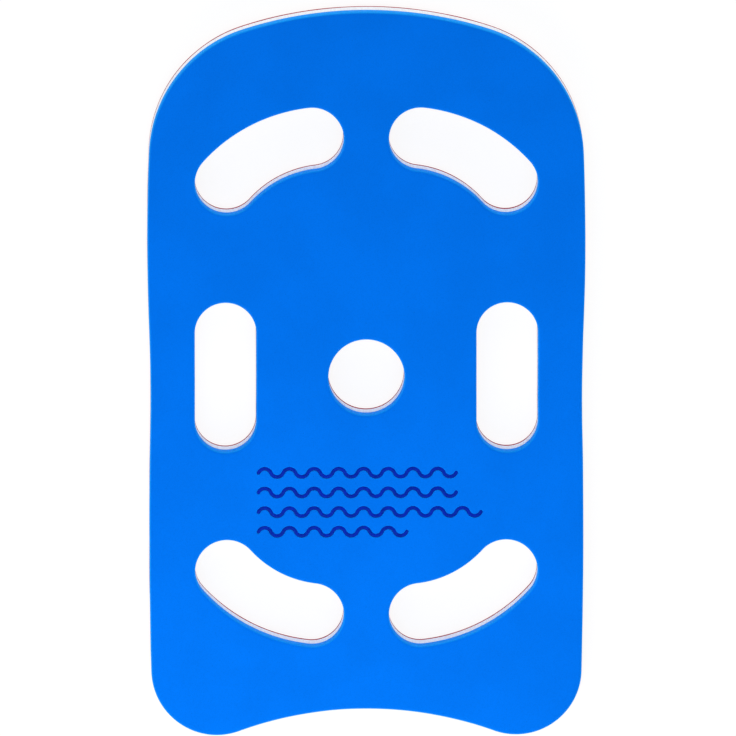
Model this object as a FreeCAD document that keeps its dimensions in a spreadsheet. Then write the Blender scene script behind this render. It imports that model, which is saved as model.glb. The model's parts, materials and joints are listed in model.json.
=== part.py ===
import FreeCAD, Part
import math
import os

import Sketcher
from FreeCAD import Vector

# A kickboard float lying flat: three foam sheets bonded one on another, seven openings cut
# through all of them, and a wave mark stamped into the face.
# Row frame: origin under the middle of the board, +X across, +Y towards the rounded nose,
# +Z up out of the face. Lengths are in millimetres, angles in degrees.

DRIVING = {
    # layers
    "face_thickness": 15,
    "core_thickness": 15,
    "back_thickness": 5,
    "bond_thickness": 0.25,
    "face_rim_radius": 2,
    "back_rim_radius": 1.5,
    # outline, from the nose to the tail along the right-hand side
    "nose_tip_y": 250,
    "nose_radius": 275,
    "shoulder_radius": 92.5,
    "flank_half_width": 150,
    "flank_y": 92,
    "flank_radius": 1550,
    "waist_y": -17,
    "waist_radius": 1225,
    "hip_y": -112,
    "hip_radius": 3700,
    "corner_radius": 45,
    "tail_radius": 255,
    "tail_middle_y": -231.9,
    # openings, laid out about the centre hole
    "pattern_y": -2.3,
    "hole_radius": 26,
    "side_slot_x": 96.5,
    "side_slot_width": 42,
    "side_slot_length": 103,
    "arc_slot_width": 43.4,
    "arc_slot_radius": 93,
    "arc_centre_x": 26.5,
    "arc_centre_y": 72,
    "arc_outer_angle": 42,
    "arc_inner_angle": 83.4,
    # wave mark
    "wave_radius": 4.6,
    "wave_rise": 2.8,
    "stroke_width": 2.6,
    "mark_left_x": -74,
    "mark_top_y": -68.1,
    "mark_pitch": 13.6,
    "stamp_depth": 0.8,
    "foil_thickness": 0.2,
}

LAYERS = {  # the thickness of each layer, from the bottom of the board up
    "back_sheet": "dims.back_thickness",
    "rear_bond": "dims.bond_thickness",
    "core_sheet": "dims.core_thickness",
    "front_bond": "dims.bond_thickness",
    "face_sheet": "dims.face_thickness",
}

HALF_WAVES = (16, 16, 18, 12)  # how many arcs each wave line has, from the top line down

START, END, CENTRE = 1, 2, 3  # the points of an arc or a line, as a sketch numbers them
ROOT_POINT = (-1, 1)
Y_AXIS = -2


def driving_sheet(doc):
    """The spreadsheet that holds every driving dimension under its own name."""
    sheet = doc.addObject("Spreadsheet::Sheet", "dims")
    for row, (name, value) in enumerate(DRIVING.items(), start=1):
        sheet.set(f"A{row}", name)
        sheet.set(f"B{row}", str(value))
        sheet.setAlias(f"B{row}", name)
    doc.recompute()
    return sheet


# ---- sketch helpers -------------------------------------------------------------------------


def polar(centre, radius, degrees):
    angle = math.radians(degrees)
    return centre + Vector(radius * math.cos(angle), radius * math.sin(angle), 0)


def circles_meet(centre_a, reach_a, centre_b, reach_b):
    """The right-hand point at distance reach_a from centre_a and reach_b from centre_b."""
    across = centre_b - centre_a
    gap = across.Length
    along = (reach_a**2 - reach_b**2 + gap**2) / (2 * gap)
    aside = math.sqrt(reach_a**2 - along**2)
    foot = centre_a + across * (along / gap)
    normal = Vector(-across.y, across.x, 0) * (aside / gap)
    return max(foot + normal, foot - normal, key=lambda point: point.x)


def touch_point(circle_a, circle_b):
    """Where two tangent circles touch. A circle is (centre, radius), with a radius below zero
    where the outline is hollow."""
    (centre_a, radius_a), (centre_b, radius_b) = circle_a, circle_b
    outward = (centre_b - centre_a) / (radius_a - radius_b)
    return centre_a + outward * radius_a


def clockwise_ends(radius):
    """The first and last point of an arc on a clockwise walk round the outline."""
    return (END, START) if radius > 0 else (START, END)


def arc_between(centre, radius, first, last):
    angles = [math.atan2(p.y - centre.y, p.x - centre.x) for p in (first, last)]
    if radius > 0:
        angles.reverse()
    if angles[1] < angles[0]:
        angles[1] += 2 * math.pi
    return Part.ArcOfCircle(Part.Circle(centre, Vector(0, 0, 1), abs(radius)), *angles)


def tangent_arcs(sketch, circles, ends=None):
    """Adds clockwise arcs of the given circles, each tangent to the next, and returns their
    numbers. ends holds the first and last point of an open chain; without it the chain closes."""
    touches = [touch_point(a, b) for a, b in zip(circles, circles[1:])]
    if ends:
        points = [ends[0], *touches, ends[1]]
    else:
        seam = touch_point(circles[-1], circles[0])
        points = [seam, *touches, seam]
    arcs = [
        arc_between(centre, radius, points[k], points[k + 1])
        for k, (centre, radius) in enumerate(circles)
    ]
    numbers = list(sketch.addGeometry(arcs, False))
    joints = list(zip(range(len(circles)), range(1, len(circles))))
    if not ends:
        joints.append((len(circles) - 1, 0))
    sketch.addConstraint(
        [
            Sketcher.Constraint(
                "Tangent",
                numbers[a],
                clockwise_ends(circles[a][1])[1],
                numbers[b],
                clockwise_ends(circles[b][1])[0],
            )
            for a, b in joints
        ]
    )
    return numbers


def bind(sketch, kind, where, value, expression):
    """Adds a dimension that follows an expression of the driving sheet."""
    number = sketch.addConstraint(Sketcher.Constraint(kind, *where, value))
    sketch.setExpression(f"Constraints[{number}]", expression)


def bind_radius(sketch, arc, expression):
    bind(sketch, "Radius", (arc,), sketch.Geometry[arc].Radius, expression)


def bind_x(sketch, arc, expression):
    """Sets how far an arc's centre is to the right of the origin."""
    value = sketch.Geometry[arc].Center.x
    bind(sketch, "DistanceX", (*ROOT_POINT, arc, CENTRE), value, expression)


def bind_y(sketch, arc, expression):
    """Sets how far an arc's centre is above the origin."""
    value = sketch.Geometry[arc].Center.y
    bind(sketch, "DistanceY", (*ROOT_POINT, arc, CENTRE), value, expression)


# ---- bodies and features --------------------------------------------------------------------


def stacked(labels):
    """Expression for the thickness of several layers together."""
    return " + ".join(LAYERS[label] for label in labels) or "0"


def new_body(doc, label, height):
    """An empty body whose base lies at a height given by an expression of the sheet."""
    body = doc.addObject("PartDesign::Body", label)
    body.Label = label
    body.setExpression("Placement.Base.z", height)
    return body


def origin_plane(body, role):
    return next(plane for plane in body.Origin.OriginFeatures if plane.Role == role)


def new_sketch(body, name, height=None):
    """A sketch parallel to the body's base, raised to a height where one is given."""
    sketch = body.newObject("Sketcher::SketchObject", name)
    sketch.AttachmentSupport = [(origin_plane(body, "XY_Plane"), "")]
    sketch.MapMode = "FlatFace"
    if height:
        sketch.setExpression("AttachmentOffset.Base.z", height)
    return sketch


def pad(body, sketch, length):
    feature = body.newObject("PartDesign::Pad", "Pad_" + sketch.Name)
    feature.Profile = sketch
    feature.setExpression("Length", length)
    return feature


def pocket(body, sketch, length, upward):
    """Cuts a sketch's outline out of the body, upward or downward from the sketch."""
    feature = body.newObject("PartDesign::Pocket", "Pocket_" + sketch.Name)
    feature.Profile = sketch
    feature.Reversed = upward
    feature.setExpression("Length", length)
    return feature


def mirrored(body, features):
    """The features again on the left-hand side of the board."""
    copy = body.newObject("PartDesign::Mirrored", "LeftHand")
    copy.Originals = features
    copy.MirrorPlane = (origin_plane(body, "YZ_Plane"), [""])
    body.Tip = copy
    return copy


def round_rims(doc, body, height, radius):
    """Rounds every edge that lies flat at one height of the body."""
    doc.recompute()
    base = body.Tip
    names = [
        f"Edge{number}"
        for number, edge in enumerate(base.Shape.Edges, start=1)
        if all(abs(vertex.Z - height) < 1e-6 for vertex in edge.Vertexes)
    ]
    feature = body.newObject("PartDesign::Fillet", "Rims")
    feature.Base = (base, names)
    feature.setExpression("Radius", radius)


# ---- outlines -------------------------------------------------------------------------------


def board_circles(dims):
    """The seven circles of the right-hand outline, from the nose to the tail."""
    nose = Vector(0, dims.nose_tip_y - dims.nose_radius, 0)
    flank = Vector(dims.flank_half_width - dims.flank_radius, dims.flank_y, 0)
    shoulder = circles_meet(
        nose,
        dims.nose_radius - dims.shoulder_radius,
        flank,
        dims.flank_radius - dims.shoulder_radius,
    )
    flank_to_waist = dims.flank_radius + dims.waist_radius
    waist = Vector(0, dims.waist_y, 0)
    waist.x = flank.x + math.sqrt(flank_to_waist**2 - (flank.y - waist.y) ** 2)
    waist_to_hip = dims.waist_radius + dims.hip_radius
    hip = Vector(0, dims.hip_y, 0)
    hip.x = waist.x - math.sqrt(waist_to_hip**2 - (waist.y - hip.y) ** 2)
    tail = Vector(0, dims.tail_middle_y - dims.tail_radius, 0)
    corner = circles_meet(
        hip,
        dims.hip_radius - dims.corner_radius,
        tail,
        dims.tail_radius + dims.corner_radius,
    )
    return [
        (nose, dims.nose_radius),
        (shoulder, dims.shoulder_radius),
        (flank, dims.flank_radius),
        (waist, -dims.waist_radius),
        (hip, dims.hip_radius),
        (corner, dims.corner_radius),
        (tail, -dims.tail_radius),
    ]


def board_half(body, dims):
    """Sketch of the board's right-hand half, closed along its middle line."""
    sketch = new_sketch(body, "BoardHalf")
    tip = Vector(0, dims.nose_tip_y, 0)
    middle = Vector(0, dims.tail_middle_y, 0)
    arcs = tangent_arcs(sketch, board_circles(dims), (tip, middle))
    nose, shoulder, flank, waist, hip, corner, tail = arcs
    spine = sketch.addGeometry(Part.LineSegment(middle, tip), False)
    sketch.addConstraint(
        [
            Sketcher.Constraint("Coincident", tail, END, spine, START),
            Sketcher.Constraint("Coincident", spine, END, nose, END),
            Sketcher.Constraint("PointOnObject", spine, START, Y_AXIS),
            Sketcher.Constraint("PointOnObject", spine, END, Y_AXIS),
            Sketcher.Constraint("PointOnObject", nose, CENTRE, Y_AXIS),
            Sketcher.Constraint("PointOnObject", tail, CENTRE, Y_AXIS),
        ]
    )
    names = ("nose", "shoulder", "flank", "waist", "hip", "corner", "tail")
    for arc, name in zip(arcs, names):
        bind_radius(sketch, arc, f"dims.{name}_radius")
    for arc, name in ((flank, "flank"), (waist, "waist"), (hip, "hip")):
        bind_y(sketch, arc, f"dims.{name}_y")
    bind_x(sketch, flank, "dims.flank_half_width - dims.flank_radius")
    bind_y(sketch, nose, "dims.nose_tip_y - dims.nose_radius")
    bind_y(sketch, tail, "dims.tail_middle_y - dims.tail_radius")
    return sketch


def arc_slot(sketch, dims, side):
    """A curved slot with round ends in the upper (side 1) or lower (side -1) right corner."""
    half_width = dims.arc_slot_width / 2
    sign = "+" if side > 0 else "-"
    centre = Vector(dims.arc_centre_x, dims.pattern_y + side * dims.arc_centre_y, 0)
    angles = [side * dims.arc_outer_angle, side * dims.arc_inner_angle]
    outer_end, inner_end = [polar(centre, dims.arc_slot_radius, angle) for angle in angles]
    circles = [
        (centre, dims.arc_slot_radius + half_width),
        (outer_end, half_width),
        (centre, half_width - dims.arc_slot_radius),
        (inner_end, half_width),
    ]
    if side < 0:
        circles.reverse()
    arcs = tangent_arcs(sketch, circles)
    if side < 0:
        arcs.reverse()
    outside, outer_cap, inside, inner_cap = arcs
    sketch.addConstraint(Sketcher.Constraint("Coincident", outside, CENTRE, inside, CENTRE))
    bind_radius(sketch, outside, "dims.arc_slot_radius + dims.arc_slot_width / 2")
    bind_radius(sketch, inside, "dims.arc_slot_radius - dims.arc_slot_width / 2")
    bind_x(sketch, outside, "dims.arc_centre_x")
    bind_y(sketch, outside, f"dims.pattern_y {sign} dims.arc_centre_y")
    for cap, end in ((outer_cap, "outer"), (inner_cap, "inner")):
        reach = f"dims.arc_slot_radius * cos(dims.arc_{end}_angle * 1 deg)"
        bind_x(sketch, cap, f"dims.arc_centre_x + {reach}")


def side_slot(sketch, dims):
    """The straight slot with round ends half way along the right-hand side."""
    radius = dims.side_slot_width / 2
    half_run = dims.side_slot_length / 2 - radius
    upper = Vector(dims.side_slot_x, dims.pattern_y + half_run, 0)
    lower = Vector(dims.side_slot_x, dims.pattern_y - half_run, 0)
    across = Vector(radius, 0, 0)
    top, right, bottom, left = sketch.addGeometry(
        [
            arc_between(upper, radius, upper - across, upper + across),
            Part.LineSegment(upper + across, lower + across),
            arc_between(lower, radius, lower + across, lower - across),
            Part.LineSegment(lower - across, upper - across),
        ],
        False,
    )
    sketch.addConstraint(
        [
            Sketcher.Constraint("Tangent", top, START, right, START),
            Sketcher.Constraint("Tangent", right, END, bottom, END),
            Sketcher.Constraint("Tangent", bottom, START, left, START),
            Sketcher.Constraint("Tangent", left, END, top, END),
            Sketcher.Constraint("Vertical", right),
        ]
    )
    bind_radius(sketch, top, "dims.side_slot_width / 2")
    bind_x(sketch, top, "dims.side_slot_x")
    run = "(dims.side_slot_length - dims.side_slot_width) / 2"
    bind_y(sketch, top, f"dims.pattern_y + {run}")
    bind_y(sketch, bottom, f"dims.pattern_y - {run}")


def right_hand_slots(body, dims):
    """Sketch of the three grip slots right of the middle line."""
    sketch = new_sketch(body, "GripSlots")
    arc_slot(sketch, dims, 1)
    side_slot(sketch, dims)
    arc_slot(sketch, dims, -1)
    return sketch


def centre_hole(body, dims):
    sketch = new_sketch(body, "CentreHole")
    centre = Vector(0, dims.pattern_y, 0)
    circle = sketch.addGeometry(Part.Circle(centre, Vector(0, 0, 1), dims.hole_radius), False)
    sketch.addConstraint(Sketcher.Constraint("PointOnObject", circle, CENTRE, Y_AXIS))
    bind_radius(sketch, circle, "dims.hole_radius")
    bind_y(sketch, circle, "dims.pattern_y")
    return sketch


def wave_circles(dims, line, half_waves):
    """The circles round one wave line: along its upper side, round its right-hand end, back
    along its lower side and round its left-hand end."""
    half_stroke = dims.stroke_width / 2
    half_length = 2 * math.sqrt(dims.wave_rise * (2 * dims.wave_radius - dims.wave_rise))
    left = Vector(dims.mark_left_x, dims.mark_top_y - line * dims.mark_pitch, 0)
    upper, lower = [], []
    for k in range(half_waves):
        crest = 1 if k % 2 == 0 else -1
        drop = crest * (dims.wave_rise - dims.wave_radius)
        centre = left + Vector((k + 0.5) * half_length, drop, 0)
        upper.append((centre, crest * dims.wave_radius + half_stroke))
        lower.append((centre, half_stroke - crest * dims.wave_radius))
    right = left + Vector(half_waves * half_length, 0, 0)
    return [*upper, (right, half_stroke), *reversed(lower), (left, half_stroke)]


def wave_line(sketch, dims, line, half_waves):
    """One wave line of even stroke width with round ends."""
    circles = wave_circles(dims, line, half_waves)
    arcs = tangent_arcs(sketch, circles)
    upper, right_cap = arcs[:half_waves], arcs[half_waves]
    lower, left_cap = arcs[half_waves + 1 : -1], arcs[-1]
    lower.reverse()
    crests, troughs = upper[::2] + lower[::2], upper[1::2] + lower[1::2]
    wide, narrow = upper[::2] + lower[1::2], upper[1::2] + lower[::2]
    sketch.addConstraint(
        [
            Sketcher.Constraint("Horizontal", group[0], CENTRE, arc, CENTRE)
            for group in (crests, troughs, (left_cap, right_cap))
            for arc in group[1:]
        ]
        + [
            Sketcher.Constraint("Equal", group[0], arc)
            for group in (wide, narrow)
            for arc in group[1:]
        ]
        + [Sketcher.Constraint("Vertical", upper[0], CENTRE, lower[0], CENTRE)]
    )
    height = f"dims.mark_top_y - {line} * dims.mark_pitch"
    bind_radius(sketch, wide[0], "dims.wave_radius + dims.stroke_width / 2")
    bind_radius(sketch, narrow[0], "dims.wave_radius - dims.stroke_width / 2")
    bind_x(sketch, left_cap, "dims.mark_left_x")
    bind_y(sketch, left_cap, height)
    bind_y(sketch, crests[0], f"{height} + dims.wave_rise - dims.wave_radius")
    bind_y(sketch, troughs[0], f"{height} - dims.wave_rise + dims.wave_radius")


def wave_sketches(body, dims, height=None):
    """A sketch for each wave line, parallel to the body's base."""
    for line, half_waves in enumerate(HALF_WAVES):
        sketch = new_sketch(body, f"Wave{line + 1}", height)
        wave_line(sketch, dims, line, half_waves)
        yield sketch


# ---- sub-parts ------------------------------------------------------------------------------


def board_layer(doc, dims, label):
    """A layer with the board's outline and its seven openings, on top of those below it."""
    order = list(LAYERS)
    body = new_body(doc, label, stacked(order[: order.index(label)]))
    thickness = LAYERS[label]
    half = pad(body, board_half(body, dims), thickness)
    slots = pocket(body, right_hand_slots(body, dims), thickness, upward=True)
    mirrored(body, [half, slots])
    pocket(body, centre_hole(body, dims), thickness, upward=True)
    return body


def back_sheet(doc, dims):
    """The lowest foam sheet, whose underside rims are rounded."""
    body = board_layer(doc, dims, "back_sheet")
    round_rims(doc, body, 0, "dims.back_rim_radius")


def rear_bond(doc, dims):
    """The film that joins the back sheet to the core."""
    board_layer(doc, dims, "rear_bond")


def core_sheet(doc, dims):
    """The middle foam sheet."""
    board_layer(doc, dims, "core_sheet")


def front_bond(doc, dims):
    """The film that joins the core to the face sheet."""
    board_layer(doc, dims, "front_bond")


def face_sheet(doc, dims):
    """The top foam sheet, with rounded rims and the wave lines pressed into it."""
    body = board_layer(doc, dims, "face_sheet")
    round_rims(doc, body, dims.face_thickness, "dims.face_rim_radius")
    for sketch in wave_sketches(body, dims, "dims.face_thickness"):
        pocket(body, sketch, "dims.stamp_depth", upward=False)


def wave_mark(doc, dims):
    """The stamped foil: four separate wave lines on the floor of the pressed grooves."""
    body = new_body(doc, "wave_mark", f"{stacked(LAYERS)} - dims.stamp_depth")
    body.AllowCompound = True
    for sketch in wave_sketches(body, dims):
        pad(body, sketch, "dims.foil_thickness")


SUB_PARTS = (back_sheet, rear_bond, core_sheet, front_bond, face_sheet, wave_mark)


# ---- checks and files -----------------------------------------------------------------------


def check(doc, bodies):
    """Stops before anything is written if an object failed or a sub-part isn't sound."""
    for item in doc.Objects:
        if {"Invalid", "Error"} & set(item.State):
            raise RuntimeError(f"{item.Name} failed: {item.State}")
    for body in bodies:
        if body.Shape.isNull() or not body.Shape.isValid():
            raise RuntimeError(f"{body.Label} has no sound shape")


def report(body):
    box = body.Shape.BoundBox
    corners = [round(v, 3) for v in (box.XMin, box.YMin, box.ZMin, box.XMax, box.YMax, box.ZMax)]
    volume = body.Shape.Volume
    print(f"{body.Label}: {len(body.Shape.Solids)} solids, {volume:.0f} mm3, box {corners}")


def main():
    doc = FreeCAD.newDocument("kickboard")
    dims = driving_sheet(doc)
    for make in SUB_PARTS:
        make(doc, dims)
    doc.recompute()
    bodies = [item for item in doc.Objects if item.TypeId == "PartDesign::Body"]
    check(doc, bodies)
    os.makedirs("parts", exist_ok=True)
    for body in bodies:
        report(body)
        body.Shape.exportStep(f"parts/{body.Label}.step")


main()
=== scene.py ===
import cmath
import json
import math

import bmesh
import bpy
import numpy as np
from mathutils import Matrix, Vector, kdtree, noise
from mathutils.geometry import delaunay_2d_cdt


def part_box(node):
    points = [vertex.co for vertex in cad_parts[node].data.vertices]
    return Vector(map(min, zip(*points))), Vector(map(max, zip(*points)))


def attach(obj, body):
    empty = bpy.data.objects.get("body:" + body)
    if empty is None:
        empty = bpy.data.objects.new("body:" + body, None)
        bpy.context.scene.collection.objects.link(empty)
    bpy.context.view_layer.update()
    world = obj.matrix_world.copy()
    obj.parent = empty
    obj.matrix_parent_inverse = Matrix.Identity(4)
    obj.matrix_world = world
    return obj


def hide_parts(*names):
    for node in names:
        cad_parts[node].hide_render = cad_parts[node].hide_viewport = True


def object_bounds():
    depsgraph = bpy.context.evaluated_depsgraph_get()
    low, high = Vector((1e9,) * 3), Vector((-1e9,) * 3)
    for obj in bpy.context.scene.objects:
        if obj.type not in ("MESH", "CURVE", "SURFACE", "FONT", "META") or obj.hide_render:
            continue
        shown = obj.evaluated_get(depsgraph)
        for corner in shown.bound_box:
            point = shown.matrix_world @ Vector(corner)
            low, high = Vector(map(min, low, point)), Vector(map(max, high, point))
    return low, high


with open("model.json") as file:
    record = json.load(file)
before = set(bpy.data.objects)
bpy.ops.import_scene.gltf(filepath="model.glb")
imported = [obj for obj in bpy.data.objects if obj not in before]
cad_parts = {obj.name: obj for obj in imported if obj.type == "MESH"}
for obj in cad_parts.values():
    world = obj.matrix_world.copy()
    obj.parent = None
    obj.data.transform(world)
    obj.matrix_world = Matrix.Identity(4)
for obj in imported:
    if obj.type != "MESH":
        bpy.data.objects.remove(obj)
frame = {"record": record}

# The looks of a kickboard float: three foam sheets with the films that bond them, and the foil
# of the wave mark. Lengths are in metres. A point of the board's plan is the complex number
# x + y*1j, and a circle is (centre, radius), with a radius below zero where it bounds a hollow.

CAD_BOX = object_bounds()

# ---- sizes ----------------------------------------------------------------------------------

CENTRE_HOLE = next(m for m in frame["record"]["mounts"] if m["name"] == "centre_hole")

# the outline, as in the CAD model
NOSE_TIP_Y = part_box("core_sheet")[1].y
NOSE_RADIUS = 0.275
SHOULDER_RADIUS = 0.0925
FLANK_HALF_WIDTH = 0.150
FLANK_Y = 0.092
FLANK_RADIUS = 1.550
WAIST_Y = -0.017
WAIST_RADIUS = 1.225
HIP_Y = -0.112
HIP_RADIUS = 3.700
CORNER_RADIUS = 0.045
TAIL_RADIUS = 0.255
TAIL_MIDDLE_Y = -0.2319

# the openings, as in the CAD model, about the centre hole
PATTERN_CENTRE = CENTRE_HOLE["pos_m"][1] * 1j
HOLE_RADIUS = CENTRE_HOLE["dims"]["r_mm"] / 1000
SIDE_SLOT_X = 0.0965
SIDE_SLOT_WIDTH = 0.042
SIDE_SLOT_LENGTH = 0.103
ARC_SLOT_WIDTH = 0.0434
ARC_SLOT_RADIUS = 0.093
ARC_SLOT_CENTRE = 0.0265 + 0.072j
ARC_SLOT_ANGLES = (42.0, 83.4)

# the wave mark, as in the CAD model
HALF_WAVES = (16, 16, 18, 12)
WAVE_RADIUS = 0.0046
WAVE_RISE = 0.0028
STROKE_WIDTH = 0.0026
MARK_CORNER = -0.074 - 0.0681j
MARK_PITCH = 0.0136
STAMP_DEPTH = 0.0008
FOIL_THICKNESS = 0.0002

# rims and walls
FACE_RIM = 0.002
BACK_RIM = 0.0015
SEAM_RIM = 0.00035
RIM_STEPS = 6
WALL_STEPS = 5
WALL_DISH = 0.00018
GROOVE_LIP = 0.0005
FILM_INSET = 0.00016
FILM_EDGE = 0.00006
FOIL_INSET = 0.00005

# unevenness of the foam: height and length of its waves, and how far apart in the noise the
# layers lie, so that each has waves of its own
SURFACE_RIPPLE = 0.00014
SURFACE_RIPPLE_LENGTH = 0.055
CUT_WANDER = 0.00013
CUT_WANDER_LENGTH = 0.030
LAYER_SPACING = 7.3
FACE, CORE, BACK, FRONT_BOND, REAR_BOND = 1, 2, 3, 4, 5

# how finely the meshes are divided
OUTLINE_STEP = 0.0014
WAVE_STEP = 0.0004
GRID_STEP = 0.0035
RIM_MARGIN = 0.0007
GRID_CLEARANCE = 0.7
MERGE_DISTANCE = 1e-9
INSIDE_WITHOUT_HOLES = 2  # the kind of triangulation that leaves out the openings

# sizes of the features in the materials. A reach is the share of the spacing that a cell covers
CLOUD_SIZE = 0.045
GRAIN_SIZE = 0.0006
SKIN_CELL = 0.0011
PORE_SPACING = 0.0024
PORE_REACH = 0.14
CUT_CELL = 0.0007
CUT_REACH = 0.6
PIT_FLOOR_REACH = 0.05
DIMPLE_REACH = 0.6
DRAG_SIZE = 0.0012
DRAG_STRETCH = 14
WEAR_SIZE = 0.004
CRACK_WIDTH = 0.05

# heights of the relief
SKIN_RELIEF = 0.00007
PORE_RELIEF = 0.00008
GRAIN_RELIEF = 0.000015
CUT_RELIEF = 0.00012
DRAG_RELIEF = 0.00008

# the ranges in which soft noise mostly lies, and the one of a cell's own random number that
# makes its pit shallow to deep
NOISE_RANGE = (0.3, 0.7)
WEAR_RANGE = (0.35, 0.7)
PIT_RANGE = (0.1, 1.0)
PIT_DEPTHS = (0.15, 1.0)

# how far a surface may lean, as the upright part of its normal: skin first, then cut wall
SKIN_TO_CUT = (0.97, 0.45)

# shades by which the features darken or lighten a colour
CLOUD_SHADES = (0.965, 1.025)
# painted shade in the dimples' hollows and in the pores
DIMPLE_PAINTED_SHADES = (0.95, 1.02)
PORE_PAINTED_SHADES = (1.0, 0.8)
# painted shade in the drag's grooves and in the open cells, with a little painted light on the
# flats between cells
STREAK_PAINTED_SHADES = (0.95, 1.04)
BETWEEN_PITS_PAINTED_LIGHT = 1.03
DEEP_PIT_PAINTED_SHADE = 0.84
PALE_PIT_PAINTED_SHADE = 0.92
WEAR_SHADES = (0.85, 1.15)
CRACK_SHARE = 0.2

# roughness, and how strongly each kind of piece shines
SKIN_ROUGHNESS = (0.48, 0.6)
CUT_ROUGHNESS = (0.86, 0.96)
FILM_ROUGHNESS = (0.3, 0.45)
FOIL_ROUGHNESS = (0.34, 0.48)
FOAM_SHINE = 0.1
FILM_SHINE = 0.3
FOIL_SHINE = 0.3

# colours, linear
BLUE_SKIN = (0.0, 0.165, 0.835)
# the cut walls' blue, lighter and paler than the skin: partly the sliced cells' own paler tone,
# partly painted sheen of the bright surroundings
BLUE_CUT_AND_SHEEN = (0.004, 0.31, 0.95)
WHITE_CUT = (0.86, 0.89, 0.95)
RED_SKIN = (0.52, 0.006, 0.015)
RED_CUT = (0.40, 0.035, 0.055)
FILM_CLEAR = (0.70, 0.73, 0.80)
FILM_MILKY = (0.86, 0.87, 0.90)
FOIL_COLOUR = (0.0006, 0.0097, 0.36)
BLUE_SHEEN = (0.08, 0.35, 1.0, 1.0)
RED_SHEEN = (1.0, 0.5, 0.5, 1.0)
NO_TINT = (1.0, 1.0, 1.0, 1.0)

# the stage
FLOOR_SIZE = 80
FLOOR_GAP = 0.0004
FLOOR_GLOW = 0.885
FLOOR_PAINT = 0.15
HORIZON_GLOW = 1.08
ZENITH_GLOW = 0.42
HORIZON_HEIGHT = 0.7
KEY_PLACE = (-0.3, 1.6, 1.9)
KEY_SIZE = 1.2
KEY_POWER = 12.5
FILL_PLACE = (-0.13, -0.53, 0.70)
FILL_AIM = (0, -0.15, 0)
FILL_SIZE = 0.7
FILL_POWER = 4.0

# the camera
CAMERA_LENS = 1500
CAMERA_SENSOR = 36
CAMERA_FRAME = 0.504
CAMERA_TILT = 8.0
CAMERA_SWING = 0.85
CAMERA_AIM = 0.0010 + 0.0044j
CAMERA_REACH = 100


# ---- plan outlines --------------------------------------------------------------------------


def arc(centre, radius, first, last, step=OUTLINE_STEP):
    """Points and outward directions along a clockwise arc, without its last point."""
    start = (first - centre) / radius
    turn = cmath.phase((last - centre) / radius / start)
    if turn * radius > 0:
        turn -= math.copysign(2 * math.pi, turn)
    count = math.ceil(abs(turn * radius) / step)
    outward = start * np.exp(1j * turn * np.arange(count) / count)
    return centre + radius * outward, outward


def straight(first, last):
    """Points and outward directions along a straight side, without its last point."""
    count = math.ceil(abs(last - first) / OUTLINE_STEP)
    along = (last - first) * np.arange(count) / count
    outward = 1j * (last - first) / abs(last - first)
    return first + along, np.full(count, outward)


def joined(sides):
    """One closed outline from its sides."""
    points, outward = zip(*sides)
    return np.concatenate(points), np.concatenate(outward)


def touch_point(circle_a, circle_b):
    """Where two tangent circles touch."""
    (centre_a, radius_a), (centre_b, radius_b) = circle_a, circle_b
    return centre_a + radius_a * (centre_b - centre_a) / (radius_a - radius_b)


def round_outline(circles, step=OUTLINE_STEP):
    """The closed clockwise outline of circles that are each tangent to the next."""
    ends = [touch_point(a, b) for a, b in zip(circles, circles[1:] + circles[:1])]
    starts = ends[-1:] + ends[:-1]
    return joined(arc(*circle, *pair, step) for circle, *pair in zip(circles, starts, ends))


def circles_meet(centre_a, reach_a, centre_b, reach_b):
    """The right-hand point at distance reach_a from centre_a and reach_b from centre_b."""
    across = centre_b - centre_a
    along = (reach_a**2 - reach_b**2 + abs(across) ** 2) / (2 * abs(across))
    aside = math.sqrt(reach_a**2 - along**2)
    feet = [across / abs(across) * (along + side * aside * 1j) for side in (1, -1)]
    return centre_a + max(feet, key=lambda foot: foot.real)


def board_outline():
    """The outline of the board: nose, shoulders, waisted flanks, corners and hollow tail."""
    nose = (NOSE_TIP_Y - NOSE_RADIUS) * 1j
    flank = FLANK_HALF_WIDTH - FLANK_RADIUS + FLANK_Y * 1j
    shoulder = circles_meet(
        nose, NOSE_RADIUS - SHOULDER_RADIUS, flank, FLANK_RADIUS - SHOULDER_RADIUS
    )
    flank_to_waist = math.sqrt((FLANK_RADIUS + WAIST_RADIUS) ** 2 - (FLANK_Y - WAIST_Y) ** 2)
    waist = flank.real + flank_to_waist + WAIST_Y * 1j
    waist_to_hip = math.sqrt((WAIST_RADIUS + HIP_RADIUS) ** 2 - (WAIST_Y - HIP_Y) ** 2)
    hip = waist.real - waist_to_hip + HIP_Y * 1j
    tail = (TAIL_MIDDLE_Y - TAIL_RADIUS) * 1j
    corner = circles_meet(hip, HIP_RADIUS - CORNER_RADIUS, tail, TAIL_RADIUS + CORNER_RADIUS)
    right = [
        (shoulder, SHOULDER_RADIUS),
        (flank, FLANK_RADIUS),
        (waist, -WAIST_RADIUS),
        (hip, HIP_RADIUS),
        (corner, CORNER_RADIUS),
    ]
    left = [(-centre.conjugate(), radius) for centre, radius in reversed(right)]
    return round_outline([(nose, NOSE_RADIUS), *right, (tail, -TAIL_RADIUS), *left])


def centre_hole():
    """The round hole, as two half circles."""
    top = PATTERN_CENTRE + HOLE_RADIUS * 1j
    bottom = PATTERN_CENTRE - HOLE_RADIUS * 1j
    halves = [(top, bottom), (bottom, top)]
    return joined(arc(PATTERN_CENTRE, HOLE_RADIUS, *half) for half in halves)


def side_slot():
    """The right-hand straight slot, about the pattern's centre."""
    radius = SIDE_SLOT_WIDTH / 2
    half_run = (SIDE_SLOT_LENGTH / 2 - radius) * 1j
    upper, lower = SIDE_SLOT_X + half_run, SIDE_SLOT_X - half_run
    return joined(
        [
            arc(upper, radius, upper - radius, upper + radius),
            straight(upper + radius, lower + radius),
            arc(lower, radius, lower + radius, lower - radius),
            straight(lower - radius, upper - radius),
        ]
    )


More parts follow.
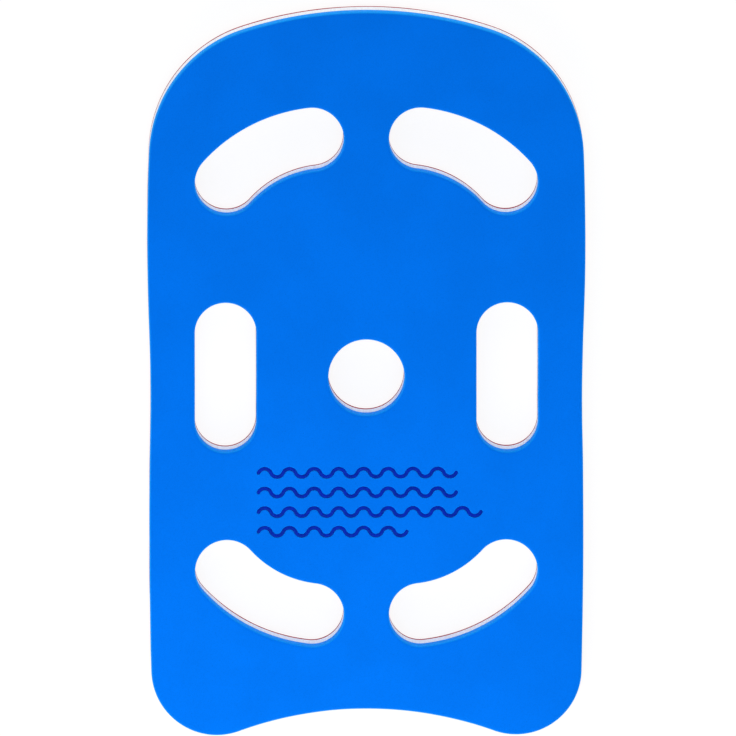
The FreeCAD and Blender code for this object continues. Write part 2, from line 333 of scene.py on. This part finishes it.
def arc_slot():
    """The upper right curved slot, about the pattern's centre."""
    half_width = ARC_SLOT_WIDTH / 2
    outer_end, inner_end = [
        ARC_SLOT_CENTRE + cmath.rect(ARC_SLOT_RADIUS, math.radians(angle))
        for angle in ARC_SLOT_ANGLES
    ]
    return round_outline(
        [
            (ARC_SLOT_CENTRE, ARC_SLOT_RADIUS + half_width),
            (outer_end, half_width),
            (ARC_SLOT_CENTRE, half_width - ARC_SLOT_RADIUS),
            (inner_end, half_width),
        ]
    )


def openings():
    """The outlines of the seven openings."""
    found = [centre_hole()]
    for points, outward in (side_slot(), arc_slot()):
        found.append((PATTERN_CENTRE + points, outward))
        found.append((PATTERN_CENTRE - points.conjugate(), -outward.conjugate()))
    points, outward = arc_slot()
    found.append((PATTERN_CENTRE - points, -outward))
    found.append((PATTERN_CENTRE + points.conjugate(), outward.conjugate()))
    return found


def wave_line(line, half_waves):
    """The outline of one wave line of even stroke width with round ends."""
    half_stroke = STROKE_WIDTH / 2
    half_length = 2 * math.sqrt(WAVE_RISE * (2 * WAVE_RADIUS - WAVE_RISE))
    left = MARK_CORNER - line * MARK_PITCH * 1j
    upper, lower = [], []
    for k in range(half_waves):
        crest = (-1) ** k
        centre = left + (k + 0.5) * half_length + crest * (WAVE_RISE - WAVE_RADIUS) * 1j
        upper.append((centre, crest * WAVE_RADIUS + half_stroke))
        lower.append((centre, half_stroke - crest * WAVE_RADIUS))
    right = left + half_waves * half_length
    circles = [*upper, (right, half_stroke), *reversed(lower), (left, half_stroke)]
    return round_outline(circles, WAVE_STEP)


def wave_lines():
    """The outlines of the wave mark's lines."""
    return [wave_line(line, half_waves) for line, half_waves in enumerate(HALF_WAVES)]


# ---- unevenness -----------------------------------------------------------------------------


def uneven(plan_point, length, layer):
    """Smooth noise between about -1 and 1 over the plan, different for each layer."""
    place = plan_point / length
    return noise.noise(Vector((place.real, place.imag, LAYER_SPACING * layer)))


def wandered(points, into_foam, layer):
    """Wall points moved a little along the wall's normal, as a blade leaves them."""
    moves = [CUT_WANDER * uneven(point, CUT_WANDER_LENGTH, layer) for point in points]
    return points + into_foam * np.array(moves)


# ---- shells ---------------------------------------------------------------------------------


class Shell:
    """The points and faces of one piece, gathered from rings, walls and caps."""

    def __init__(self):
        self.points = []
        self.faces = []

    def ring(self, points, height):
        """Adds a closed ring of points at one height and returns their numbers."""
        first = len(self.points)
        self.points += [(point.real, point.imag, height) for point in points]
        return list(range(first, len(self.points)))

    def wall(self, points, into_foam, profile):
        """Adds a wall along an outline. profile lists (inset, height) from one edge of the
        wall to the other. Returns the first and last ring."""
        rings = [self.ring(points + inset * into_foam, height) for inset, height in profile]
        for one, other in zip(rings, rings[1:]):
            for k in range(len(one)):
                self.faces.append((one[k - 1], one[k], other[k], other[k - 1]))
        return rings[0], rings[-1]

    def cap(self, rings, grid_step=None):
        """Fills the level area between rings with triangles, on a grid where a step is given."""
        numbers = [number for ring in rings for number in ring]
        ends = np.cumsum([len(ring) for ring in rings])
        bounds = [list(range(end - len(ring), end)) for ring, end in zip(rings, ends)]
        if grid_step:
            height = self.points[numbers[0]][2]
            numbers += self.ring(self.grid_points(numbers, grid_step), height)
        plan = [Vector(self.points[number][:2]) for number in numbers]
        filled = delaunay_2d_cdt(plan, [], bounds, INSIDE_WITHOUT_HOLES, MERGE_DISTANCE)
        triangles, origins = filled[2], filled[3]
        for triangle in triangles:
            self.faces.append(tuple(numbers[origins[corner][0]] for corner in triangle))

    def grid_points(self, numbers, step):
        """A staggered grid over the box of some points, without the places near one of them."""
        plan = np.array([self.points[number][:2] for number in numbers])
        near = kdtree.KDTree(len(plan))
        for index, place in enumerate(plan):
            near.insert((*place, 0), index)
        near.balance()
        (left, bottom), (right, top) = plan.min(0), plan.max(0)
        found = []
        for row, y in enumerate(np.arange(bottom, top, step * math.sqrt(3) / 2)):
            for x in np.arange(left + row % 2 * step / 2, right, step):
                if near.find((x, y, 0))[2] > GRID_CLEARANCE * step:
                    found.append(complex(x, y))
        return found

    def flatten_onto(self, low, high):
        """Squeezes the points towards a level above them, until none is below the lower one."""
        lowest = min(z for _, _, z in self.points)
        share = (high - low) / (high - lowest)
        self.points = [(x, y, high - share * (high - z)) for x, y, z in self.points]

    def piece(self, name):
        """The finished object, with its faces turned outward and its loose points dropped."""
        mesh = bpy.data.meshes.new(name)
        mesh.from_pydata(self.points, [], self.faces)
        shape = bmesh.new()
        shape.from_mesh(mesh)
        loose = [point for point in shape.verts if not point.link_faces]
        bmesh.ops.delete(shape, geom=loose, context="VERTS")
        bmesh.ops.recalc_face_normals(shape, faces=shape.faces)
        for face in shape.faces:
            face.smooth = True
        shape.to_mesh(mesh)
        shape.free()
        made = bpy.data.objects.new(name, mesh)
        bpy.context.scene.collection.objects.link(made)
        return made


def quarter(radius):
    """A quarter circle that turns from a wall, at inset 0, to a flat surface above it."""
    angles = [math.pi / 2 * k / RIM_STEPS for k in range(RIM_STEPS + 1)]
    return [(radius * (1 - math.cos(a)), radius * math.sin(a)) for a in angles]


def rim_profile(level, radius, upward):
    """Profile of a rounded rim, from the wall to the flat surface at the given level."""
    side = 1 if upward else -1
    return [(inset, level - side * (radius - height)) for inset, height in quarter(radius)]


def wall_profile(low, high, low_rim, high_rim):
    """Profile of a layer's wall between its two rims, from its lower face to its upper one.
    The wall is hollowed a little towards both rims, so that each layer stands out softly."""
    lower = rim_profile(low, low_rim, upward=False)[::-1]
    upper = rim_profile(high, high_rim, upward=True)
    bottom, top = low + low_rim, high - high_rim
    middle = [(0.0, bottom + (top - bottom) * k / WALL_STEPS) for k in range(1, WALL_STEPS)]
    half, centre = (high - low) / 2, (high + low) / 2
    return [
        (inset + WALL_DISH * ((height - centre) / half) ** 2, height)
        for inset, height in (*lower, *middle, *upper)
    ]


def layer_walls(shell, profile, layer):
    """Adds the walls of the outline and of the openings, and returns their end rings."""
    outline = board_outline()
    walls = [(outline[0], -outline[1]), *openings()]
    lows, highs = [], []
    for points, into_foam in walls:
        low, high = shell.wall(wandered(points, into_foam, layer), into_foam, profile)
        lows.append(low)
        highs.append(high)
    return lows, highs


# ---- pieces ---------------------------------------------------------------------------------


def levels(node):
    """The heights of the lower and upper face of a CAD layer."""
    low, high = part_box(node)
    return low.z, high.z


def finished(piece, node, material):
    """Puts a piece in the place of its CAD node."""
    piece.data.materials.append(material)
    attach(piece, "root")
    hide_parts(node)
    return piece


def raise_surface(shell, still, moved, layer):
    """Ripples a piece's moved level, less and less towards its still level."""
    rippled = []
    for x, y, z in shell.points:
        share = (z - still) / (moved - still)
        ripple = SURFACE_RIPPLE * uneven(complex(x, y), SURFACE_RIPPLE_LENGTH, layer)
        rippled.append((x, y, z + share * ripple))
    shell.points = rippled


def face_foam():
    """The sheet on top, with a soft rim and the pressed grooves of the wave mark."""
    low, high = levels("face_sheet")
    shell = Shell()
    profile = wall_profile(low, high, SEAM_RIM, FACE_RIM)
    profile.append((profile[-1][0] + RIM_MARGIN, high))
    lows, highs = layer_walls(shell, profile, FACE)
    groove = groove_profile(high)
    for points, outward in wave_lines():
        bed, lip = shell.wall(points, outward, groove)
        shell.cap([bed])
        highs.append(lip)
    shell.cap(lows)
    shell.cap(highs, GRID_STEP)
    raise_surface(shell, low, high, FACE)
    return shell.piece("face_foam")


def groove_profile(surface):
    """Profile of a pressed groove, from its floor up to the foam's surface."""
    floor_level = surface - STAMP_DEPTH
    lip_level = surface - GROOVE_LIP
    lip = [(inset, lip_level + height) for inset, height in quarter(GROOVE_LIP)]
    halfway = (floor_level + lip_level) / 2
    return [(0.0, floor_level), (0.0, halfway), *lip, (2 * GROOVE_LIP, surface)]


def core_foam():
    """The middle sheet, whose level faces are both bonded."""
    low, high = levels("core_sheet")
    shell = Shell()
    lows, highs = layer_walls(shell, wall_profile(low, high, SEAM_RIM, SEAM_RIM), CORE)
    shell.cap(lows)
    shell.cap(highs)
    return shell.piece("core_foam")


def back_foam():
    """The sheet underneath, with a soft rim, lying on the floor."""
    low, high = levels("back_sheet")
    shell = Shell()
    profile = wall_profile(low, high, BACK_RIM, SEAM_RIM)
    profile.insert(0, (profile[0][0] + RIM_MARGIN, low))
    lows, highs = layer_walls(shell, profile, BACK)
    shell.cap(lows, GRID_STEP)
    shell.cap(highs)
    raise_surface(shell, high, low, BACK)
    shell.flatten_onto(low, high)
    return shell.piece("back_foam")


def bond_film(node, layer):
    """A thin film between two sheets, whose edge lies a little inside their walls."""
    low, high = levels(node)
    shell = Shell()
    profile = [
        (FILM_INSET + FILM_EDGE, low),
        (FILM_INSET, low + FILM_EDGE),
        (FILM_INSET, high - FILM_EDGE),
        (FILM_INSET + FILM_EDGE, high),
    ]
    lows, highs = layer_walls(shell, profile, layer)
    shell.cap(lows)
    shell.cap(highs)
    return shell.piece(node + "_film")


def wave_foil():
    """The foil at the bottom of the pressed grooves, one solid for each wave line."""
    bottom, surface = levels("face_sheet")
    floor_level = surface - STAMP_DEPTH
    top = floor_level + FOIL_THICKNESS
    profile = [
        (FOIL_INSET, floor_level),
        (FOIL_INSET, (floor_level + top) / 2),
        (2 * FOIL_INSET, top - FOIL_INSET / 2),
        (4 * FOIL_INSET, top),
    ]
    shell = Shell()
    for points, outward in wave_lines():
        low, high = shell.wall(points, -outward, profile)
        shell.cap([low])
        shell.cap([high])
    raise_surface(shell, bottom, surface, FACE)
    return shell.piece("wave_foil")


# ---- materials ------------------------------------------------------------------------------


def link_or_set(tree, socket, value):
    """Links an output to an input, or sets the input to a constant."""
    if isinstance(value, bpy.types.NodeSocket):
        tree.links.new(value, socket)
    else:
        socket.default_value = value


def node(tree, kind, inputs=None, **settings):
    """A new shader node with its settings, and with its inputs set or linked."""
    made = tree.nodes.new("ShaderNode" + kind)
    for name, value in settings.items():
        setattr(made, name, value)
    for name, value in (inputs or {}).items():
        link_or_set(tree, made.inputs[name], value)
    return made


def calc(tree, operation, *values):
    """The result of one step of arithmetic."""
    made = node(tree, "Math", operation=operation)
    for socket, value in zip(made.inputs, values):
        link_or_set(tree, socket, value)
    return made.outputs[0]


def ramp(tree, value, span, results=(0.0, 1.0)):
    """A value that goes smoothly from one result to the other as another crosses a span."""
    (start, end), (low, high) = span, results
    made = node(
        tree,
        "MapRange",
        {"Value": value, "From Min": start, "From Max": end, "To Min": low, "To Max": high},
        interpolation_type="SMOOTHSTEP",
    )
    return made.outputs[0]


# A Mix node has an input and an output of the same name for each type of data, so they are
# taken by number: share, first and second, and the result.


def mix(tree, share, first, second, blend_type="MIX"):
    """Two colours mixed by a share."""
    inputs = {0: share, 6: first, 7: second}
    return node(tree, "Mix", inputs, data_type="RGBA", blend_type=blend_type).outputs[2]


def blend(tree, share, first, second):
    """Two values mixed by a share."""
    inputs = {0: share, 2: first, 3: second}
    return node(tree, "Mix", inputs, data_type="FLOAT").outputs[0]


def shaded(tree, colour, shade):
    """A constant colour made darker or lighter by a shade."""
    return mix(tree, 1.0, (*colour, 1), shade, "MULTIPLY")


def grain(tree, place, size, detail=2.0):
    """Soft noise with features of about the given size."""
    inputs = {"Vector": place, "Scale": 1 / size, "Detail": detail}
    return node(tree, "TexNoise", inputs).outputs["Fac"]


def cells(tree, place, size, feature="F1"):
    """Distance from the middle, or from the edge, of foam cells of about the given size."""
    inputs = {"Vector": place, "Scale": 1 / size}
    return node(tree, "TexVoronoi", inputs, feature=feature).outputs["Distance"]


def pits(tree, place, spacing, reach):
    """Open foam cells: 0 between them and up to 1 in their middle, each of its own depth."""
    inputs = {"Vector": place, "Scale": 1 / spacing}
    found = node(tree, "TexVoronoi", inputs, feature="F1").outputs
    own = node(tree, "SeparateXYZ", {0: found["Color"]}).outputs["X"]
    depth = ramp(tree, own, PIT_RANGE, PIT_DEPTHS)
    opened = ramp(tree, found["Distance"], (reach, PIT_FLOOR_REACH))
    return calc(tree, "MULTIPLY", opened, depth)


def stretched(tree, place, scale):
    """Places scaled along each axis, so that a pattern there is drawn out or pressed."""
    return node(tree, "Mapping", {"Vector": place, "Scale": scale}).outputs[0]


def new_material(name):
    """An empty material and its node tree."""
    material = bpy.data.materials.new(name)
    material.use_nodes = True
    material.node_tree.nodes.clear()
    return material, material.node_tree


def finish_material(tree, colour, roughness, height, **constants):
    """The shader of a piece. height is in metres, and the constants go on its own sockets."""
    bump = node(tree, "Bump", {"Height": height, "Distance": 1.0, "Strength": 1.0})
    inputs = {"Base Color": colour, "Roughness": roughness, "Normal": bump.outputs[0]}
    surface = node(tree, "BsdfPrincipled", inputs)
    for name, value in constants.items():
        surface.inputs[name.replace("_", " ")].default_value = value
    node(tree, "OutputMaterial", {"Surface": surface.outputs[0]})


def skin_look(tree, place, colour):
    """Colour, roughness and height of the smooth skin: soft clouds, small dimples and pores,
    with painted shade darkening the dimples' hollows and the pores.
    """
    cloud = grain(tree, place, CLOUD_SIZE, detail=3.0)
    dimple = cells(tree, place, SKIN_CELL)
    dust = grain(tree, place, GRAIN_SIZE)
    pore = pits(tree, place, PORE_SPACING, PORE_REACH)
    cloud_shade = ramp(tree, cloud, NOISE_RANGE, CLOUD_SHADES)
    # painted shade: darker where the dimples and pores sink; the clouds are the skin's own tone
    dimple_painted_shade = ramp(tree, dimple, (0.0, DIMPLE_REACH), DIMPLE_PAINTED_SHADES)
    pore_painted_shade = ramp(tree, pore, (0.0, 1.0), PORE_PAINTED_SHADES)
    cloud_tone_and_painted_shade = calc(tree, "MULTIPLY", cloud_shade, dimple_painted_shade)
    dimple_height = calc(tree, "MULTIPLY", dimple, SKIN_RELIEF)
    dust_height = calc(tree, "MULTIPLY", dust, GRAIN_RELIEF)
    pore_depth = calc(tree, "MULTIPLY", pore, PORE_RELIEF)
    swelling = calc(tree, "ADD", dimple_height, dust_height)
    return (
        shaded(tree, colour, calc(tree, "MULTIPLY", cloud_tone_and_painted_shade, pore_painted_shade)),
        ramp(tree, dust, NOISE_RANGE, SKIN_ROUGHNESS),
        calc(tree, "SUBTRACT", swelling, pore_depth),
    )


def cut_look(tree, place, colour, pit_painted_shade):
    """Colour, roughness and height of a cut wall: sliced cells, drawn out along the cut, with
    painted shade in the open cells and the drag's grooves and a little painted light between
    them.
    """
    pit = pits(tree, place, CUT_CELL, CUT_REACH)
    drag = grain(tree, stretched(tree, place, (1, 1, 1 / DRAG_STRETCH)), DRAG_SIZE)
    # painted shade: darker in the open cells and along the drag's grooves, a little lighter
    # between the cells
    cell_painted_shade = ramp(tree, pit, (0.0, 1.0), (BETWEEN_PITS_PAINTED_LIGHT, pit_painted_shade))
    streak_painted_shade = ramp(tree, drag, NOISE_RANGE, STREAK_PAINTED_SHADES)
    drag_height = calc(tree, "MULTIPLY", drag, DRAG_RELIEF)
    pit_depth = calc(tree, "MULTIPLY", pit, CUT_RELIEF)
    return (
        shaded(tree, colour, calc(tree, "MULTIPLY", cell_painted_shade, streak_painted_shade)),
        ramp(tree, pit, (0.0, 1.0), CUT_ROUGHNESS),
        calc(tree, "SUBTRACT", drag_height, pit_depth),
    )


def foam(name, skin, cut, pit_painted_shade, tint):
    """Closed-cell foam: smooth skin on the level faces and sliced cells on the cut walls."""
    material, tree = new_material(name)
    coordinates = node(tree, "TexCoord").outputs
    place = coordinates["Object"]
    upright = node(tree, "SeparateXYZ", {0: coordinates["Normal"]}).outputs["Z"]
    is_cut = ramp(tree, calc(tree, "ABSOLUTE", upright), SKIN_TO_CUT)
    skin_colour, skin_roughness, skin_height = skin_look(tree, place, skin)
    cut_colour, cut_roughness, cut_height = cut_look(tree, place, cut, pit_painted_shade)
    finish_material(
        tree,
        mix(tree, is_cut, skin_colour, cut_colour),
        blend(tree, is_cut, skin_roughness, cut_roughness),
        blend(tree, is_cut, skin_height, cut_height),
        Specular_IOR_Level=FOAM_SHINE,
        Specular_Tint=tint,
    )
    return material


def bond_film_look():
    """Milky film, a little glossy, with the foam's cells showing through as soft grain."""
    material, tree = new_material("milky_film")
    place = node(tree, "TexCoord").outputs["Object"]
    haze = grain(tree, place, GRAIN_SIZE, detail=3.0)
    colour = mix(tree, ramp(tree, haze, NOISE_RANGE), (*FILM_CLEAR, 1), (*FILM_MILKY, 1))
    roughness = ramp(tree, haze, NOISE_RANGE, FILM_ROUGHNESS)
    height = calc(tree, "MULTIPLY", haze, GRAIN_RELIEF)
    finish_material(tree, colour, roughness, height, Specular_IOR_Level=FILM_SHINE)
    return material


def stamped_foil():
    """Dark blue satin foil that follows the foam's cells, with hairline cracks between them."""
    material, tree = new_material("dark_foil")
    place = node(tree, "TexCoord").outputs["Object"]
    edge = cells(tree, place, SKIN_CELL, "DISTANCE_TO_EDGE")
    crack = ramp(tree, edge, (CRACK_WIDTH, 0.0), (0.0, CRACK_SHARE))
    worn = grain(tree, place, WEAR_SIZE, detail=4.0)
    ink = shaded(tree, FOIL_COLOUR, ramp(tree, worn, WEAR_RANGE, WEAR_SHADES))
    finish_material(
        tree,
        mix(tree, crack, ink, (*BLUE_SKIN, 1)),
        ramp(tree, worn, NOISE_RANGE, FOIL_ROUGHNESS),
        calc(tree, "MULTIPLY", cells(tree, place, SKIN_CELL), SKIN_RELIEF),
        Specular_IOR_Level=FOIL_SHINE,
        Specular_Tint=BLUE_SHEEN,
    )
    return material


# ---- stage ----------------------------------------------------------------------------------


def floor():
    """A white floor that glows a little, as under a bright tent, and still takes shadows."""
    bpy.ops.mesh.primitive_plane_add(size=FLOOR_SIZE, location=(0, 0, -FLOOR_GAP))
    made = bpy.context.object
    made.name = "floor"
    material, tree = new_material("floor_white")
    glow = node(tree, "Emission", {"Color": (1, 1, 1, 1), "Strength": FLOOR_GLOW})
    paint = node(tree, "BsdfDiffuse", {"Color": (FLOOR_PAINT, FLOOR_PAINT, FLOOR_PAINT, 1)})
    both = node(tree, "AddShader", {0: glow.outputs[0], 1: paint.outputs[0]})
    node(tree, "OutputMaterial", {"Surface": both.outputs[0]})
    made.data.materials.append(material)


def area_light(name, place, aim, size, power):
    """A square lamp at a place, turned towards its aim."""
    data = bpy.data.lights.new(name, "AREA")
    data.size = size
    data.energy = power
    lamp = bpy.data.objects.new(name, data)
    lamp.location = place
    lamp.rotation_euler = (Vector(aim) - Vector(place)).to_track_quat("-Z", "Y").to_euler()
    bpy.context.scene.collection.objects.link(lamp)


def sky():
    """A white tent: brightest round the horizon, softer overhead."""
    world = bpy.data.worlds.new("studio")
    bpy.context.scene.world = world
    world.use_nodes = True
    tree = world.node_tree
    direction = node(tree, "TexCoord").outputs["Generated"]
    height = node(tree, "SeparateXYZ", {0: direction}).outputs["Z"]
    glow = ramp(tree, height, (0.0, HORIZON_HEIGHT), (HORIZON_GLOW, ZENITH_GLOW))
    tent = tree.nodes["Background"]
    tent.inputs["Color"].default_value = NO_TINT
    tree.links.new(glow, tent.inputs["Strength"])


def lights():
    """The tent, a large key lamp beyond the nose and a smaller fill lamp beyond the tail."""
    sky()
    area_light("key", KEY_PLACE, (0, 0, 0), KEY_SIZE, KEY_POWER)
    area_light("tail_fill", FILL_PLACE, FILL_AIM, FILL_SIZE, FILL_POWER)
    bpy.context.scene.view_settings.view_transform = "Standard"


def camera():
    """The camera looks down on the face, from a little towards the nose and to the left."""
    data = bpy.data.cameras.new("camera")
    data.lens = CAMERA_LENS
    data.sensor_width = CAMERA_SENSOR
    data.clip_end = CAMERA_REACH
    made = bpy.data.objects.new("camera", data)
    tilt, swing = math.radians(CAMERA_TILT), math.radians(CAMERA_SWING)
    back = Vector((-math.tan(swing), math.sin(tilt), math.cos(tilt))).normalized()
    right = Vector((0, 1, 0)).cross(back).normalized()
    up = back.cross(right)
    turned = Matrix((right, up, back)).transposed().to_4x4()
    aim = Vector((CAMERA_AIM.real, CAMERA_AIM.imag, CAD_BOX[1].z))
    distance = CAMERA_FRAME * CAMERA_LENS / CAMERA_SENSOR
    made.matrix_world = Matrix.Translation(aim + distance * back) @ turned
    bpy.context.scene.collection.objects.link(made)
    bpy.context.scene.camera = made


# ---- the scene ------------------------------------------------------------------------------


# the blue foam's cut walls take that lighter blue, partly their own tone and partly painted
# sheen
blue = foam("blue_foam", BLUE_SKIN, BLUE_CUT_AND_SHEEN, DEEP_PIT_PAINTED_SHADE, BLUE_SHEEN)
white = foam("white_foam", WHITE_CUT, WHITE_CUT, PALE_PIT_PAINTED_SHADE, NO_TINT)
red = foam("red_foam", RED_SKIN, RED_CUT, DEEP_PIT_PAINTED_SHADE, RED_SHEEN)
film = bond_film_look()
foil = stamped_foil()
foams = [
    finished(face_foam(), "face_sheet", blue),
    finished(core_foam(), "core_sheet", white),
    finished(back_foam(), "back_sheet", red),
]
finished(bond_film("front_bond", FRONT_BOND), "front_bond", film)
finished(bond_film("rear_bond", REAR_BOND), "rear_bond", film)
finished(wave_foil(), "wave_mark", foil)
floor()
lights()
camera()
